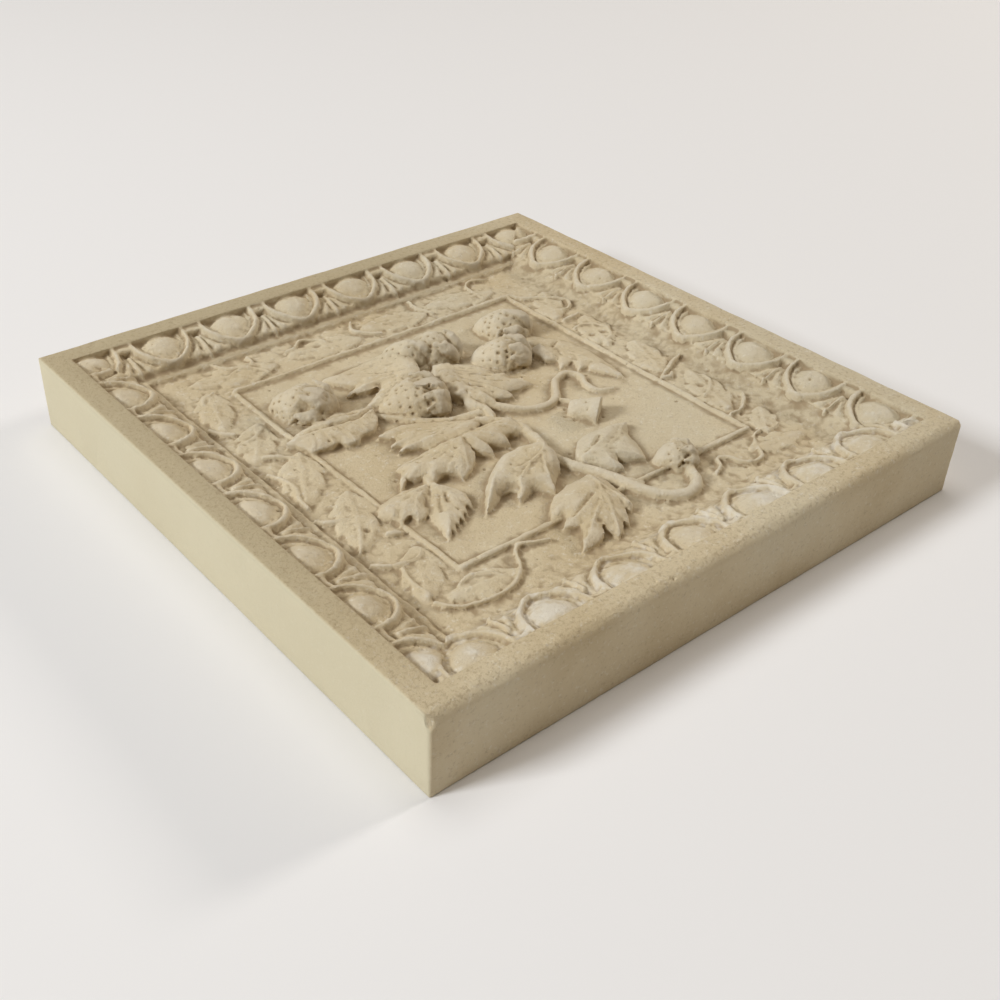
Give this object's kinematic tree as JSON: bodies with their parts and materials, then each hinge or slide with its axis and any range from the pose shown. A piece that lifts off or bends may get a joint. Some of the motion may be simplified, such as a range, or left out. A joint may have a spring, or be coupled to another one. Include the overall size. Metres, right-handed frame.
{
  "type": "relief wall tile",
  "caption": "Square cast wall tile with an egg and dart border and a raised strawberry spray in a framed panel.",
  "frame": {"origin": "centre of the underside", "axes": "+Z out of the relief side, +X and +Y along the sides of the tile"},
  "size_m": [0.203, 0.203, 0.025],
  "materials": {
    "cast_stone": "matt, fine grained, warm cream"
  },
  "bodies": {
    "root": {"relief_tile": "cast_stone"}
  },
  "joints": []
}
